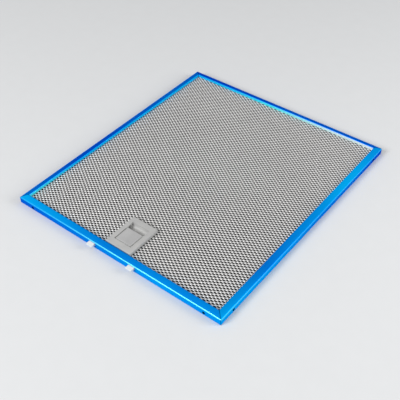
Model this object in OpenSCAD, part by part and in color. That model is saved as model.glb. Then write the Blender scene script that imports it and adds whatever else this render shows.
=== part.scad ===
// Grease filter for a cooker hood: a mitred frame of roll-formed bars, a pack of expanded and
// crimped aluminium sheets, and a spring latch with two tongues. It lies face up: X runs along the
// short bars, +Y points away from the latch, and Z = 0 is the underside of the frame.

/* [Filter] */
// Overall width along the short bars
filter_w = 267; // [200:1:320]
// Overall length along the long bars
filter_l = 305; // [220:1:400]

/* [Frame bars] */
// Thickness of the roll-formed sheet
frame_t = 0.6; // [0.4:0.05:0.8]
// Width of a bar seen from above
bar_w = 7.4; // [6.5:0.1:10]
// Height of the flat part of the outer wall
wall_h = 7.1; // [6.6:0.1:8]
// Height of the rolled inner edge, the highest line of the frame
lip_h = 10.1; // [9.4:0.1:12]
// Outside radius of the bend at the top of the outer wall
bend_r = 1.0; // [0.9:0.05:1.5]
// Outside radius of the rolled inner edge
roll_r = 1.3; // [1:0.05:1.6]
// Outside radius of the bend at the foot of the outer wall
foot_r = 0.9; // [0.9:0.05:1.2]
// Open joint between two mitred ends
mitre_gap = 0.2; // [0.1:0.05:0.4]

/* [Corners] */
// Length of a bracket leg, from the outside of the frame
bracket_leg = 26; // [22:1:40]
// Thickness of a bracket leg
bracket_t = 2.4; // [1.5:0.1:3]
// Height of a bracket leg
bracket_h = 5.4; // [5:0.1:5.8]
// Distance of a punched mark from the outside of the corner
punch_setback = 19.5; // [14:0.5:22]
// Height of the punched marks above the underside
punch_z = 3.3; // [3:0.1:3.8]
// Radius of the punched marks
punch_r = 1.4; // [1:0.1:1.6]
// Wall of the collar that the punch draws into the bracket
collar_t = 0.4; // [0.3:0.05:0.6]
// Depth of that collar behind the wall
collar_l = 1.4; // [0.8:0.1:2]

/* [Filter pack] */
// Long way of one diamond of the expanded sheet, along X
diamond_w = 6.06; // [5:0.02:10]
// Short way of one diamond, along Y
diamond_l = 3.8; // [3:0.02:6]
// Width of a strand of the expanded sheet
strand_w = 1.1; // [0.8:0.05:1.4]
// Thickness of the aluminium sheet
sheet_t = 0.3; // [0.2:0.05:0.4]
// Height of an expanded sheet with its raised strands
mesh_h = 0.8; // [0.6:0.05:1]
// Height of a crimped inner layer
layer_h = 0.64; // [0.5:0.02:0.7]
// Pitch of the crimp
crimp_pitch = 9.5; // [6:0.5:14]
// Openings that go through the whole pack, counted across it
open_columns = 10; // [4:1:10]
// Openings that go through the whole pack, counted along it
open_rows = 12; // [4:1:12]
// Diamonds that one opening spans each way
open_span = 2; // [1:1:3]

/* [Latch bezel] */
// Width of the bezel along X
bezel_w = 33; // [32:0.2:40]
// Open joint between the frame and the bezel
bezel_gap = 1.1; // [0.4:0.1:1.6]
// How far the bezel's top lies below the rolled inner edge of the frame
bezel_drop = 0.6; // [0:0.1:1]
// Thickness of the bezel's top plate
bezel_t = 1.6; // [1.2:0.1:2]
// Radius of the bezel's corners and upper edges
bezel_r = 1.2; // [0.6:0.1:1.5]
// How far the bezel laps over the sheet round the tray
bezel_lap = 1.7; // [1.4:0.1:2.2]
// Width of the bezel's window
window_w = 22; // [21:0.2:24]
// Plate left between the frame and the window
front_margin = 7.5; // [6.5:0.1:9]
// Room behind the pad, measured at the top of the scoop
well_l = 9.1; // [8.4:0.1:11]
// Radius of the four bosses under the bezel
boss_r = 1.9; // [1.6:0.1:2.2]
// Radius of the bezel's pegs
peg_r = 1; // [0.7:0.1:1.2]
// Length of the pegs
peg_l = 3.2; // [2:0.1:5]

/* [Latch tray] */
// Wall thickness of the tray, the bezel and the pad
wall_t = 1.3; // [1:0.1:1.5]
// Height of the tray's underside above the frame's
floor_base = 0.1; // [0:0.05:0.3]
// Height of the rails that carry the slider
rail_h = 0.4; // [0.2:0.1:0.6]

/* [Latch pad] */
// Width of the pad
pad_w = 19.5; // [17:0.1:20.4]
// Length of the pad along Y
pad_l = 18; // [16:0.1:20]
// Height of the pad above the bezel
pad_rise = 0.3; // [0:0.1:1]
// Gap between the window and the front of the pad
pad_gap = 0.9; // [0.5:0.1:1.2]
// How far the lip under the bezel reaches past the window
flange_reach = 1.3; // [0.8:0.1:1.6]
// Thickness of that lip
flange_t = 1; // [0.8:0.1:1.5]
// Depth of the hollow that the fingertip finds on the pad
dish_depth = 0.25; // [0.1:0.05:0.4]

/* [Latch slider] */
// Thickness of the neck between the upright and the bar that joins the tongues
neck_t = 2; // [1.5:0.1:2.5]
// Thickness of the upright that stands in the pad
upright_t = 2; // [1.5:0.1:3]
// Width of a tongue
tongue_w = 7.2; // [5:0.1:9]
// Thickness of a tongue
tongue_t = 1.6; // [1.2:0.1:1.8]
// Distance between the middles of the tongues
tongue_spacing = 52.6; // [50:0.2:70]
// How far the tongues stand out of the frame
tongue_out = 5.2; // [3:0.1:5.5]
// Depth of the bar that joins the tongues, along Y
crossbar_l = 2; // [1.5:0.1:3]
// Distance of that bar behind the frame's outer wall
crossbar_setback = 2; // [1.2:0.1:2.5]

/* [Latch springs] */
// Outside diameter of a spring
spring_d = 4.4; // [4:0.1:4.8]
// Diameter of the spring wire
wire_d = 0.5; // [0.4:0.05:0.6]
// Distance of each spring from the middle
spring_x = 4.4; // [3.6:0.1:5]
// Turns of a spring
spring_turns = 8; // [6:1:9]
// Length of the spigots that centre the springs
spigot_l = 1.2; // [0.8:0.1:1.5]

/* [Clearances] */
// Gap round each moving face of the latch
slide_gap = 0.3; // [0.2:0.05:0.4]
// Gap between parts that are pushed together and stay put
fit_gap = 0.05; // [0.03:0.01:0.1]

/* [Hidden] */
$fn = 48;

half_w = filter_w / 2;
half_l = filter_l / 2;
// Longer than any cut needs to be
far = filter_w + filter_l;
// Lets a cutter break cleanly through a face, and joined shapes run into each other
over = 1;

// Filter pack, from the underside up
layer_count = 6;
layer_step = layer_h + fit_gap / 2;
pack_base = frame_t;
layers_base = pack_base + mesh_h + fit_gap / 2;
face_base = layers_base + layer_count * layer_step;
pack_top = face_base + mesh_h;
pack_inset = frame_t + fit_gap + bracket_t + slide_gap;

// Expanded sheet: the raised strands run along one pair of the diamonds' sides
strand_angle = atan2(diamond_l, diamond_w);
strand_pitch = diamond_w * diamond_l / norm([diamond_w, diamond_l]);
strand_count = ceil(norm([filter_w, filter_l]) / strand_pitch / 2);
sheet_reach = (strand_count + 1) * strand_pitch;
opening_size = open_span - strand_w / strand_pitch;
// Two points in each valley of the crimp and two on each crest
crimp_steps = 4;

// Latch heights
floor_top = floor_base + wall_t;
rail_top = floor_top + rail_h;
slide_base = rail_top + slide_gap;
crossbar_top = face_base - slide_gap;
tongue_top = wall_h - slide_gap;
bezel_top = lip_h - bezel_drop;
bezel_under = bezel_top - bezel_t;
flange_top = bezel_under - slide_gap;
pad_top = bezel_top + pad_rise;
hollow_top = pad_top - wall_t;
spring_z = (slide_base + hollow_top) / 2;

// Latch places along Y, from the frame's outer wall to the middle of the filter
wall_y = -half_l;
lip_y = wall_y + bar_w;
bezel_y = lip_y + bezel_gap;
window_y = bezel_y + front_margin;
pad_y = window_y + pad_gap;
pad_back = pad_y + pad_l;
window_back = pad_back + well_l;
boss_rear = window_back + wall_t + slide_gap + boss_r;
tray_back = boss_rear + boss_r;
bezel_back = tray_back + bezel_lap;
travel = tongue_out + slide_gap;
crossbar_y = wall_y + frame_t + crossbar_setback;
crossbar_back = crossbar_y + crossbar_l;
boss_front = crossbar_back + travel + slide_gap + boss_r;
tray_front = boss_front - boss_r;
upright_y = pad_y + wall_t + fit_gap;
upright_back = upright_y + upright_t;
post_back = pad_back - wall_t - slide_gap;
post_y = post_back - wall_t;
scoop_y = pad_back + travel + slide_gap;
scoop_low = floor_top + fit_gap;
scoop_run = window_back - scoop_y;
scoop_drop = bezel_top - scoop_low;
scoop_r = (scoop_run * scoop_run + scoop_drop * scoop_drop) / (2 * scoop_run);

// Latch sizes along X, and the pegs
flange_w = window_w + 2 * flange_reach;
tray_w = bezel_w - 2 * bezel_lap;
crossbar_w = tongue_spacing + tongue_w;
hollow_x = pad_w / 2 - wall_t;
spigot_r = spring_d / 2 - wire_d - slide_gap;
boss_x = tray_w / 2 - boss_r;

// Points of an arc, from one angle to another
function arc(centre, r, from, to, steps = 6) = [
    for (i = [0:steps])
        let (a = from + (to - from) * i / steps)
        centre + r * [cos(a), sin(a)]
];

// Plan outline of a plate with rounded corners
function rounded(x0, x1, y0, y1, r) = concat(
    arc([x1 - r, y0 + r], r, -90, 0),
    arc([x1 - r, y1 - r], r, 0, 90),
    arc([x0 + r, y1 - r], r, 90, 180),
    arc([x0 + r, y0 + r], r, 180, 270)
);

// Outline with a flat foot and two rounded upper corners
function domed(x0, x1, y0, y1, r) = concat(
    [[x0, y0], [x1, y0]],
    arc([x1 - r, y1 - r], r, 0, 90),
    arc([x0 + r, y1 - r], r, 90, 180)
);

// Extrudes an outline drawn in Y and Z along X, centred
module along_x(length) {
    translate([-length / 2, 0, 0])
        rotate([90, 0, 90])
            linear_extrude(length)
                children();
}

// Extrudes an outline drawn in X and Z along Y, between two places
module along_y(y0, y1) {
    translate([0, y1, 0])
        rotate([90, 0, 0])
            linear_extrude(y1 - y0)
                children();
}

module box(x0, x1, y0, y1, z0, z1) {
    translate([x0, y0, z0])
        cube([x1 - x0, y1 - y0, z1 - z0]);
}

// A block with rounded corners in plan and rounded upper edges
module soft_block(x0, x1, y0, y1, z0, z1, r) {
    intersection() {
        translate([0, 0, z0])
            linear_extrude(z1 - z0)
                polygon(rounded(x0, x1, y0, y1, r));
        along_y(y0 - over, y1 + over)
            polygon(domed(x0, x1, z0 - over, z1, r));
        along_x(2 * max(abs(x0), abs(x1)) + over)
            polygon(domed(y0, y1, z0 - over, z1, r));
    }
}

// Frame

// Section of a bar: X runs inwards from the outer wall, Y is the height
function bar_section() =
    let (
        bend = [bend_r, wall_h],
        roll = [bar_w - roll_r, lip_h - roll_r],
        run = roll - bend,
        slope = atan2(run[1], run[0]) + asin((roll_r - bend_r) / norm(run)),
        foot = [foot_r, foot_r]
    )
    concat(
        [[bar_w, 0]],
        arc(foot, foot_r, 270, 180),
        arc(bend, bend_r, 180, 90 + slope),
        arc(roll, roll_r, 90 + slope, 0),
        [[bar_w, pack_top], [bar_w - frame_t, pack_top]],
        arc(roll, roll_r - frame_t, 0, 90 + slope),
        arc(bend, bend_r - frame_t, 90 + slope, 180),
        arc(foot, foot_r - frame_t, 180, 270),
        [[bar_w, frame_t]]
    );

// One punched mark: a collar behind the wall, or the bore through both
module punch_collar(x) {
    translate([x, frame_t / 2, punch_z])
        rotate([-90, 0, 0])
            cylinder(r = punch_r + collar_t, h = frame_t / 2 + collar_l);
}

module punch_bore(x) {
    translate([x, -over, punch_z])
        rotate([-90, 0, 0])
            cylinder(r = punch_r, h = 2 * over + frame_t + collar_l);
}

// A mitred bar along X, with its outer wall on the plane Y = 0 and its inside towards +Y
module frame_bar(length) {
    end = length / 2;
    cut = mitre_gap / sqrt(2);
    depth = bar_w + over;
    punch_x = end - punch_setback;
    difference() {
        union() {
            intersection() {
                along_x(length)
                    polygon(bar_section());
                translate([0, 0, -over])
                    linear_extrude(lip_h + 2 * over)
                        polygon([
                            [-end + cut - over, -over],
                            [end - cut + over, -over],
                            [end - cut - depth, depth],
                            [-end + cut + depth, depth]
                        ]);
            }
            punch_collar(-punch_x);
            punch_collar(punch_x);
        }
        punch_bore(-punch_x);
        punch_bore(punch_x);
    }
}

module frame_bar_front() {
    color([0.02, 0.5, 0.93])
        difference() {
            translate([0, wall_y, 0])
                frame_bar(filter_w);
            for (side = [-1, 1])
                box(
                    side * tongue_spacing / 2 - tongue_w / 2 - slide_gap,
                    side * tongue_spacing / 2 + tongue_w / 2 + slide_gap,
                    wall_y - over, wall_y + frame_t + over,
                    slide_base - slide_gap, tongue_top + slide_gap
                );
        }
}

module frame_bar_back() {
    color([0.02, 0.45, 0.9])
        rotate([0, 0, 180])
            translate([0, wall_y, 0])
                frame_bar(filter_w);
}

module frame_bar_left() {
    color([0.02, 0.55, 0.95])
        rotate([0, 0, -90])
            translate([0, -half_w, 0])
                frame_bar(filter_l);
}

module frame_bar_right() {
    color([0.02, 0.5, 0.93])
        rotate([0, 0, 90])
            translate([0, -half_w, 0])
                frame_bar(filter_l);
}

// An L bracket for the corner at the origin, with legs along +X and +Y
module corner_bracket() {
    near = frame_t + fit_gap;
    inner = near + bracket_t;
    chamfer = bracket_t / 2;
    hole_r = punch_r + collar_t + fit_gap;
    difference() {
        translate([0, 0, near])
            linear_extrude(bracket_h)
                polygon([
                    [near + chamfer, near], [bracket_leg, near], [bracket_leg, inner],
                    [inner, inner], [inner, bracket_leg], [near, bracket_leg],
                    [near, near + chamfer]
                ]);
        translate([punch_setback, 0, punch_z])
            rotate([-90, 0, 0])
                cylinder(r = hole_r, h = inner + over);
        translate([0, punch_setback, punch_z])
            rotate([0, 90, 0])
                cylinder(r = hole_r, h = inner + over);
    }
}

module corner_bracket_front_left() {
    color([0.62, 0.63, 0.65])
        translate([-half_w, -half_l, 0])
            corner_bracket();
}

module corner_bracket_front_right() {
    color([0.62, 0.63, 0.65])
        translate([half_w, -half_l, 0])
            mirror([1, 0, 0])
                corner_bracket();
}

module corner_bracket_back_left() {
    color([0.62, 0.63, 0.65])
        translate([-half_w, half_l, 0])
            mirror([0, 1, 0])
                corner_bracket();
}

module corner_bracket_back_right() {
    color([0.62, 0.63, 0.65])
        translate([half_w, half_l, 0])
            rotate([0, 0, 180])
                corner_bracket();
}

// Filter pack

// Outline of a sheet, with its openings, cut out for the latch tray and, as far as room_y, for
// the sliding tongues
module sheet_outline(room_y = wall_y) {
    x1 = half_w - pack_inset;
    y1 = half_l - pack_inset;
    tray_x = tray_w / 2 + slide_gap;
    room_x = crossbar_w / 2 + slide_gap;
    difference() {
        square([2 * x1, 2 * y1], center = true);
        translate([-tray_x, wall_y])
            square([2 * tray_x, tray_back + slide_gap - wall_y]);
        if (room_y > -y1)
            translate([-room_x, wall_y])
                square([2 * room_x, room_y - wall_y]);
        openings();
    }
}

// Section across the raised strands, with the flat sheet below them
function strand_section() = concat(
    [
        for (k = [-strand_count:strand_count])
            for (p = [[-strand_w / 2, sheet_t], [0, mesh_h], [strand_w / 2, sheet_t]])
                [k * strand_pitch + p[0], p[1]]
    ],
    [[sheet_reach, sheet_t], [sheet_reach, 0], [-sheet_reach, 0], [-sheet_reach, sheet_t]]
);

// Openings that every sheet has at the same places, spread evenly over the pack, each with its
// edges along the strands
module openings() {
    step_x = floor((filter_w - 2 * bar_w) / diamond_w / open_columns);
    step_y = floor((filter_l - 2 * bar_w) / diamond_l / open_rows);
    reach = opening_size / 2 * [diamond_w, diamond_l];
    keep_x = tray_w / 2 + open_span * diamond_w;
    keep_y = tray_back + open_span * diamond_l;
    for (i = [0:open_columns - 1])
        for (j = [0:open_rows - 1]) {
            x = (i - (open_columns - 1) / 2) * step_x * diamond_w;
            y = (j - (open_rows - 1) / 2) * step_y * diamond_l;
            column = round(x / diamond_w);
            row = round(y / diamond_l) + (open_span % 2) / 2;
            centre = [column * diamond_w, row * diamond_l];
            if (abs(centre[0]) > keep_x || centre[1] > keep_y)
                translate(centre)
                    polygon([[reach[0], 0], [0, reach[1]], [-reach[0], 0], [0, -reach[1]]]);
        }
}

// An expanded sheet with its raised strands upwards
module expanded_sheet(room_y = wall_y) {
    intersection() {
        rotate([0, 0, 90 - strand_angle])
            along_y(-far / 2, far / 2)
                polygon(strand_section());
        translate([0, 0, -over])
            linear_extrude(mesh_h + 2 * over)
                sheet_outline(room_y);
    }
}

module mesh_face() {
    color([0.66, 0.66, 0.66])
        translate([0, 0, face_base])
            expanded_sheet(lip_y - frame_t);
}

// Turned over, so that its raised strands face the underside
module mesh_rear() {
    color([0.6, 0.6, 0.6])
        translate([0, 0, pack_base + mesh_h])
            rotate([0, 180, 0])
                expanded_sheet();
}

// Section of a crimped layer, flat on its crests and in its valleys, long enough for either direction
function crimp_section() =
    let (
        count = ceil(filter_l / crimp_pitch / 2) * crimp_steps,
        rise = layer_h - sheet_t,
        under = [for (i = [-count:count])
            [i * crimp_pitch / crimp_steps, (i + count) % crimp_steps < crimp_steps / 2 ? 0 : rise]],
        top = [for (i = [2 * count:-1:0]) under[i] + [0, sheet_t]]
    )
    concat(under, top);

// Inner layer, counted from the underside; the crimp of each layer crosses the one below
module filter_layer(index) {
    color([0.56, 0.57, 0.58])
        translate([0, 0, layers_base + (index - 1) * layer_step])
            intersection() {
                rotate([0, 0, 90 * (index % 2)])
                    along_y(-far / 2, far / 2)
                        polygon(crimp_section());
                translate([0, 0, -over])
                    linear_extrude(layer_h + 2 * over)
                        sheet_outline(crossbar_back + travel + slide_gap);
            }
}

// Latch

// Places of the four pegs that hold the bezel on the tray
module at_pegs() {
    for (x = [-boss_x, boss_x])
        for (y = [boss_front, boss_rear])
            translate([x, y, 0])
                children();
}

module latch_base() {
    hole_l = peg_l + slide_gap;
    post_x = hollow_x - slide_gap;
    tab_y = wall_y + frame_t + slide_gap;
    color([0.6, 0.6, 0.6])
        difference() {
            union() {
                box(-tray_w / 2, tray_w / 2, bezel_y, tray_back, floor_base, floor_top);
                // Rim that clamps the rear sheet
                box(-bezel_w / 2, bezel_w / 2, bezel_y, bezel_back, floor_base, frame_t);
                // Tab that rests on the bar's lower flange
                box(-pad_w / 2, pad_w / 2, tab_y, bezel_y + over, frame_t, floor_top);
                for (side = [-1, 1])
                    translate([side * (tray_w - wall_t) / 2, 0, 0])
                        box(-wall_t / 2, wall_t / 2, tray_front, tray_back, floor_base, bezel_under);
                box(-tray_w / 2, tray_w / 2, tray_back - wall_t, tray_back, floor_base, bezel_under);
                // Rails under the edges of the neck and the side walls of the pad
                for (side = [-1, 1])
                    translate([side * hollow_x, 0, 0])
                        box(-wall_t, wall_t, bezel_y, scoop_y, floor_base, rail_top);
                // Post that the springs push against and that stops the pad
                box(-post_x, post_x, post_y, post_back, floor_base, hollow_top - slide_gap);
                for (x = [-spring_x, spring_x])
                    translate([x, post_y + over, spring_z])
                        rotate([90, 0, 0])
                            cylinder(r = spigot_r, h = over + spigot_l);
                at_pegs()
                    translate([0, 0, floor_base])
                        cylinder(r = boss_r, h = bezel_under - floor_base);
            }
            at_pegs()
                translate([0, 0, bezel_under - hole_l])
                    cylinder(r = peg_r + fit_gap, h = hole_l + over);
        }
}

module latch_bezel() {
    x1 = bezel_w / 2;
    cheek_x = window_w / 2 + wall_t;
    color([0.73, 0.73, 0.72])
        difference() {
            union() {
                difference() {
                    soft_block(-x1, x1, bezel_y, bezel_back, pack_top, bezel_top, bezel_r);
                    box(
                        -x1 + wall_t, x1 - wall_t, bezel_y + wall_t, bezel_back - wall_t,
                        pack_top - over, bezel_under
                    );
                }
                box(-cheek_x, cheek_x, scoop_y, window_back + wall_t, scoop_low, bezel_under + over / 2);
                at_pegs()
                    translate([0, 0, bezel_under - peg_l])
                        cylinder(r = peg_r, h = peg_l + over / 2);
            }
            box(
                -window_w / 2, window_w / 2, window_y, scoop_y,
                bezel_under - over, bezel_top + over
            );
            // Curved back wall of the well, which guides the fingertip
            translate([0, window_back - scoop_r, bezel_top])
                rotate([0, 90, 0])
                    cylinder(r = scoop_r, h = window_w, center = true, $fn = 96);
        }
}

// Runs on the rails: the upright that the springs push, a neck, and the bar with both tongues
module latch_slider() {
    neck_x = hollow_x - fit_gap;
    color([0.92, 0.94, 0.95]) {
        box(-neck_x, neck_x, upright_y, upright_back, slide_base, hollow_top - fit_gap);
        box(-neck_x, neck_x, crossbar_back - over, upright_back, slide_base, slide_base + neck_t);
        box(
            -crossbar_w / 2, crossbar_w / 2, crossbar_y, crossbar_back,
            slide_base, crossbar_top
        );
        for (side = [-1, 1])
            translate([side * tongue_spacing / 2, 0, 0])
                tongue();
        for (x = [-spring_x, spring_x])
            translate([x, upright_back + spigot_l, spring_z])
                rotate([90, 0, 0])
                    cylinder(r = spigot_r, h = over + spigot_l);
    }
}

// A tongue with a ramp under its tip, so that the latch snaps home by itself; it steps down to the
// bar, which runs below the face sheet
module tongue() {
    tip = wall_y - tongue_out;
    arm_under = crossbar_top - tongue_t;
    arm_back = crossbar_y + over;
    root = lip_y - frame_t - travel - slide_gap;
    along_x(tongue_w)
        polygon([
            [tip, tongue_top], [tip, tongue_top - tongue_t / 2], [wall_y, arm_under],
            [arm_back, arm_under], [arm_back, crossbar_top], [root, crossbar_top],
            [root, tongue_top]
        ]);
}

// The button that the finger moves: a cap over the slider's upright, kept down by its lip
module latch_pad() {
    x1 = pad_w / 2;
    dish_reach = min(pad_w, pad_l) / 2 - bezel_r;
    dish_r = (dish_reach * dish_reach + dish_depth * dish_depth) / (2 * dish_depth);
    color([0.7, 0.7, 0.7])
        difference() {
            union() {
                soft_block(-x1, x1, pad_y, pad_back, slide_base, pad_top, bezel_r / 2);
                // Lip that keeps the pad under the bezel
                box(
                    -flange_w / 2, flange_w / 2, pad_y - flange_reach, pad_back,
                    flange_top - flange_t, flange_top
                );
            }
            // Hollow for the upright, the springs and the post
            box(
                -hollow_x, hollow_x, pad_y + wall_t, pad_back - wall_t,
                slide_base - over, hollow_top
            );
            // Notch over the slider's neck
            box(
                -hollow_x, hollow_x, pad_y - over, pad_y + wall_t + over,
                slide_base - over, slide_base + neck_t + fit_gap
            );
            translate([0, (pad_y + pad_back) / 2, pad_top - dish_depth + dish_r])
                sphere(r = dish_r, $fn = 96);
        }
}

// Compression spring along Y between the upright and the post; its end turns lie flat
module latch_spring(x) {
    sides = 6;
    turn_steps = 14;
    steps = spring_turns * turn_steps;
    coil_r = (spring_d - wire_d) / 2;
    start = upright_back + wire_d / 2;
    length = post_y - start - wire_d / 2;
    middle = length - 2 * wire_d;
    function place(i) =
        let (turn = i / turn_steps)
        turn < 1 ? turn * wire_d
        : turn > spring_turns - 1 ? length - (spring_turns - turn) * wire_d
        : wire_d + middle * (turn - 1) / (spring_turns - 2);
    rings = [
        for (i = [0:steps])
            for (k = [0:sides - 1])
                let (
                    a = 360 * i / turn_steps,
                    b = 360 * k / sides,
                    r = coil_r + wire_d / 2 * cos(b)
                )
                [r * cos(a), start + place(i) + wire_d / 2 * sin(b), r * sin(a)]
    ];
    walls = [
        for (i = [0:steps - 1])
            for (k = [0:sides - 1])
                let (
                    here = i * sides + k,
                    next = i * sides + (k + 1) % sides
                )
                [here, here + sides, next + sides, next]
    ];
    ends = [
        [for (k = [0:sides - 1]) k],
        [for (k = [sides - 1:-1:0]) steps * sides + k]
    ];
    color([0.75, 0.76, 0.78])
        translate([x, 0, spring_z])
            polyhedron(rings, concat(walls, ends), convexity = 10);
}

module latch_spring_left() {
    latch_spring(-spring_x);
}

module latch_spring_right() {
    latch_spring(spring_x);
}

frame_bar_front();
frame_bar_back();
frame_bar_left();
frame_bar_right();
corner_bracket_front_left();
corner_bracket_front_right();
corner_bracket_back_left();
corner_bracket_back_right();
mesh_rear();
filter_layer(1);  // filter_layer_1
filter_layer(2);  // filter_layer_2
filter_layer(3);  // filter_layer_3
filter_layer(4);  // filter_layer_4
filter_layer(5);  // filter_layer_5
filter_layer(6);  // filter_layer_6
mesh_face();
latch_base();
latch_bezel();
latch_slider();
latch_pad();
latch_spring_left();
latch_spring_right();
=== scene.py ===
"""Dresses the cooker hood filter: open expanded sheets, crimped foil, finishes and studio."""

import logging
import math
from collections.abc import Mapping, Sequence
from dataclasses import dataclass, field
from enum import Enum

import bmesh
import bpy
import numpy as np
from mathutils import Matrix, Vector


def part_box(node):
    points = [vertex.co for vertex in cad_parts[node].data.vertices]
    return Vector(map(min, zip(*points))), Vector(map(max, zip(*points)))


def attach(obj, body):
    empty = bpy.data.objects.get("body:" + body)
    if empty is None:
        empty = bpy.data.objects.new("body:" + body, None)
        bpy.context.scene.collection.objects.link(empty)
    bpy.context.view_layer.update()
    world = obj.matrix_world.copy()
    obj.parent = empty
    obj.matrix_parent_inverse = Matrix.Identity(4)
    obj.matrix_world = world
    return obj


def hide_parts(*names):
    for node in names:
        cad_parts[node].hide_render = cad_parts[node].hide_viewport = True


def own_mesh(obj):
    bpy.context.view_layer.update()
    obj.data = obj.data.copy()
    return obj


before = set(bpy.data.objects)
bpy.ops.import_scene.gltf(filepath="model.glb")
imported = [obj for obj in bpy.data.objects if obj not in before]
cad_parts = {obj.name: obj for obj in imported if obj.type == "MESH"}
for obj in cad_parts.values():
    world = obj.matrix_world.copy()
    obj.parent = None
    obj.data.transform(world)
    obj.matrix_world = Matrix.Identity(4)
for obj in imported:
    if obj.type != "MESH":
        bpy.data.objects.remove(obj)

LOG = logging.getLogger("filter")
MM = 0.001
PLAN = "plan"  # the attribute that holds each point's place on the straight, flat sheet
NOISE_LOW, NOISE_HIGH = 0.3, 0.7  # most values of a noise lie between these

Colour = tuple[float, float, float]
Point = tuple[float, float, float]


class Body(Enum):
    """The rigid bodies that pieces ride on."""

    FILTER = "filter"
    SLIDER = "slider"


class Way(Enum):
    """The direction that a rolled or drawn surface runs in, as the axis number."""

    ALONG_X = 0
    ALONG_Y = 1


class Value:
    """A shader number. Arithmetic on it adds Math nodes to its graph."""

    def __init__(self, graph: "Graph", socket: bpy.types.NodeSocket) -> None:
        """Wraps a socket.

        Args:
            graph: the graph that new nodes go into.
            socket: the output that holds the number.
        """
        self.graph = graph
        self.socket = socket

    def _math(self, operation: str, *values: object) -> "Value":
        """One Math node.

        Args:
            operation: the node's operation.
            values: its inputs in order, numbers or Values.

        Returns:
            The node's result.
        """
        inputs = dict(enumerate(values))
        made = self.graph.node("ShaderNodeMath", {"operation": operation}, inputs)
        return Value(self.graph, made.outputs[0])

    def __add__(self, other: object) -> "Value":
        """Sum."""
        return self._math("ADD", self, other)

    def __radd__(self, other: object) -> "Value":
        """Sum with a number on the left."""
        return self._math("ADD", other, self)

    def __sub__(self, other: object) -> "Value":
        """Difference."""
        return self._math("SUBTRACT", self, other)

    def __rsub__(self, other: object) -> "Value":
        """Difference from a number on the left."""
        return self._math("SUBTRACT", other, self)

    def __mul__(self, other: object) -> "Value":
        """Product."""
        return self._math("MULTIPLY", self, other)

    def __rmul__(self, other: object) -> "Value":
        """Product with a number on the left."""
        return self._math("MULTIPLY", other, self)

    def __truediv__(self, other: object) -> "Value":
        """Quotient."""
        return self._math("DIVIDE", self, other)

    def __rtruediv__(self, other: object) -> "Value":
        """Quotient with a number on the left."""
        return self._math("DIVIDE", other, self)

    def __pow__(self, other: object) -> "Value":
        """Power."""
        return self._math("POWER", self, other)

    def __rpow__(self, other: object) -> "Value":
        """Power with a number on the left."""
        return self._math("POWER", other, self)

    def __abs__(self) -> "Value":
        """Distance from zero."""
        return self._math("ABSOLUTE", self)

    def cosine(self) -> "Value":
        """Cosine of the value in radians."""
        return self._math("COSINE", self)

    def least(self, other: object) -> "Value":
        """The smaller of two values."""
        return self._math("MINIMUM", self, other)

    def most(self, other: object) -> "Value":
        """The larger of two values."""
        return self._math("MAXIMUM", self, other)

    def ramp(self, low: float, high: float, start: float = 0.0, end: float = 1.0) -> "Value":
        """Goes smoothly from start at low to end at high, and stays there beyond.

        Args:
            low: where the ramp starts.
            high: where it ends.
            start: the result up to low.
            end: the result from high.

        Returns:
            The ramped value.
        """
        settings = {"interpolation_type": "SMOOTHSTEP"}
        inputs = {
            "Value": self, "From Min": low, "From Max": high, "To Min": start, "To Max": end,
        }
        made = self.graph.node("ShaderNodeMapRange", settings, inputs)
        return Value(self.graph, made.outputs["Result"])


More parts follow.
